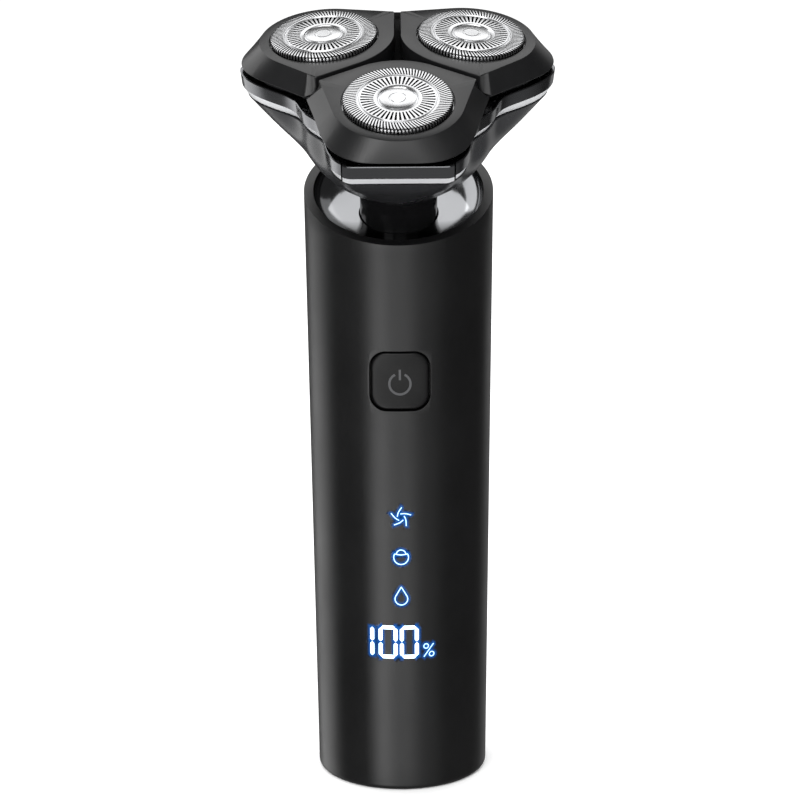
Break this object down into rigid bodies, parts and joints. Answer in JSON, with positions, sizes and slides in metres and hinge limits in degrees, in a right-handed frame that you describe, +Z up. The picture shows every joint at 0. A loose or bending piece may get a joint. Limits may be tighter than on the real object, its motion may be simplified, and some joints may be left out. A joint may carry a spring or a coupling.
{
  "type": "electric shaver",
  "caption": "Cordless rotary shaver: tapered black handle with power button and lit display, floating three-lobed head with round steel guards and a flip-open cover.",
  "frame": {"origin": "middle of the flat base of the handle", "axes": "+Z up along the handle, -Y is the front with the button and display, +X to the right seen from the front"},
  "size_m": [0.0648, 0.0608, 0.1653],
  "materials": {
    "shell": "matte black moulded shell",
    "gloss": "smoked glossy black",
    "satin": "satin black",
    "chrome": "dark chrome plating",
    "steel": "polished steel",
    "inner": "moulded grey plastic",
    "rubber": "soft black rubber",
    "board": "green circuit board",
    "brass": "turned brass",
    "gear": "ivory acetal",
    "cell": "shrink-wrapped cell",
    "light": "clear light guide"
  },
  "bodies": {
    "handle": {"handle_shell": "shell", "neck_collar": "gloss", "bottom_cap": "shell", "base_seal": "rubber", "charging_port": "steel", "port_seal": "rubber", "charge_board": "board", "cap_screw_1": "steel", "cap_screw_2": "steel", "inner_frame": "inner", "battery_cell": "cell", "battery_tab_top": "steel", "battery_tab_bottom": "steel", "main_board": "board", "button_switch": "inner", "button_seal": "rubber", "display_board": "board", "light_guide": "light", "motor_can": "steel", "motor_bracket": "inner", "bracket_screw_1": "steel", "bracket_screw_2": "steel", "neck_post": "gloss", "neck_seal": "rubber"},
    "power_button": {"power_button": "satin"},
    "motor_rotor": {"motor_shaft": "steel", "drive_cup": "brass"},
    "drive_link": {"drive_link": "steel"},
    "gimbal_ring": {"gimbal_ring": "steel"},
    "head": {"head_housing": "gloss", "head_trim": "chrome", "gear_plate": "inner", "gear_cover": "inner", "housing_screw_1": "steel", "housing_screw_2": "steel", "housing_screw_3": "steel", "hinge_pin": "steel"},
    "release_tab": {"release_tab": "chrome"},
    "head_drive": {"drive_shaft": "steel", "center_gear": "gear"},
    "cover": {"cover_frame": "gloss"},
    "spindle_front": {"spindle_gear_front": "gear"},
    "spindle_right": {"spindle_gear_right": "gear"},
    "spindle_left": {"spindle_gear_left": "gear"},
    "petal_front": {"petal_front": "satin", "guard_front": "steel", "cutter_holder_front": "inner"},
    "petal_right": {"petal_right": "satin", "guard_right": "steel", "cutter_holder_right": "inner"},
    "petal_left": {"petal_left": "satin", "guard_left": "steel", "cutter_holder_left": "inner"},
    "cutter_front": {"cutter_front": "steel"},
    "cutter_right": {"cutter_right": "steel"},
    "cutter_left": {"cutter_left": "steel"}
  },
  "joints": [
    {"name": "power_press", "type": "slide", "parent": "handle", "child": "power_button", "axis": [0, 1, 0], "range_m": [0, 0.0005], "stiffness_N_per_m": 600},
    {"name": "motor_spin", "type": "hinge", "parent": "handle", "child": "motor_rotor", "pos_m": [0, 0, 0.104], "axis": [0, 0, 1], "continuous": true},
    {"name": "link_spin", "type": "hinge", "parent": "handle", "child": "drive_link", "pos_m": [0, 0, 0.111], "axis": [0, -0.1048, 0.9945], "continuous": true},
    {"name": "head_pitch", "type": "hinge", "parent": "handle", "child": "gimbal_ring", "pos_m": [0, -0.00237, 0.13351], "axis": [1, 0, 0], "range_deg": [-6, 6], "stiffness_Nm_per_rad": 1},
    {"name": "head_roll", "type": "hinge", "parent": "gimbal_ring", "child": "head", "pos_m": [0, -0.00237, 0.13351], "axis": [0, 0.9184, 0.3955], "range_deg": [-6, 6], "stiffness_Nm_per_rad": 1},
    {"name": "release_press", "type": "slide", "parent": "head", "child": "release_tab", "axis": [0, 0.9184, 0.3955], "range_m": [0, 0.0008], "stiffness_N_per_m": 600},
    {"name": "drive_spin", "type": "hinge", "parent": "head", "child": "head_drive", "pos_m": [0, -0.00237, 0.13351], "axis": [0, -0.3955, 0.9184], "continuous": true},
    {"name": "cover_open", "type": "hinge", "parent": "head", "child": "cover", "pos_m": [0, 0.01299, 0.16256], "axis": [-1, 0, 0], "range_deg": [0, 75]},
    {"name": "spindle_spin_front", "type": "hinge", "parent": "head", "child": "spindle_front", "pos_m": [0, -0.02481, 0.1417], "axis": [0, -0.3955, 0.9184], "continuous": true},
    {"name": "spindle_spin_right", "type": "hinge", "parent": "head", "child": "spindle_right", "pos_m": [0.01504, -0.00089, 0.15201], "axis": [0, -0.3955, 0.9184], "continuous": true},
    {"name": "spindle_spin_left", "type": "hinge", "parent": "head", "child": "spindle_left", "pos_m": [-0.01504, -0.00089, 0.15201], "axis": [0, -0.3955, 0.9184], "continuous": true},
    {"name": "petal_tilt_front", "type": "hinge", "parent": "cover", "child": "petal_front", "pos_m": [0, -0.02761, 0.14813], "axis": [1, 0, 0], "range_deg": [-2.5, 2.5], "stiffness_Nm_per_rad": 0.1},
    {"name": "cutter_spin_front", "type": "hinge", "parent": "petal_front", "child": "cutter_front", "pos_m": [0, -0.02903, 0.15078], "axis": [0, -0.471, 0.8821], "continuous": true},
    {"name": "petal_tilt_right", "type": "hinge", "parent": "cover", "child": "petal_right", "pos_m": [0.01507, -0.00364, 0.15845], "axis": [-0.5, 0.7954, 0.3426], "range_deg": [-2.5, 2.5], "stiffness_Nm_per_rad": 0.1},
    {"name": "cutter_spin_right", "type": "hinge", "parent": "petal_right", "child": "cutter_right", "pos_m": [0.01528, -0.00471, 0.16125], "axis": [0.0725, -0.3557, 0.9318], "continuous": true},
    {"name": "petal_tilt_left", "type": "hinge", "parent": "cover", "child": "petal_left", "pos_m": [-0.01507, -0.00364, 0.15845], "axis": [-0.5, -0.7954, -0.3426], "range_deg": [-2.5, 2.5], "stiffness_Nm_per_rad": 0.1},
    {"name": "cutter_spin_left", "type": "hinge", "parent": "petal_left", "child": "cutter_left", "pos_m": [-0.01528, -0.00471, 0.16125], "axis": [-0.0725, -0.3557, 0.9318], "continuous": true}
  ],
  "couplings": [
    {"joint": "motor_spin", "follows": "drive_spin", "ratio": 1},
    {"joint": "link_spin", "follows": "drive_spin", "ratio": 1},
    {"joint": "spindle_spin_front", "follows": "drive_spin", "ratio": -0.66667},
    {"joint": "spindle_spin_right", "follows": "drive_spin", "ratio": -0.66667},
    {"joint": "spindle_spin_left", "follows": "drive_spin", "ratio": -0.66667},
    {"joint": "cutter_spin_front", "follows": "drive_spin", "ratio": -0.66667},
    {"joint": "cutter_spin_right", "follows": "drive_spin", "ratio": -0.66667},
    {"joint": "cutter_spin_left", "follows": "drive_spin", "ratio": -0.66667}
  ]
}
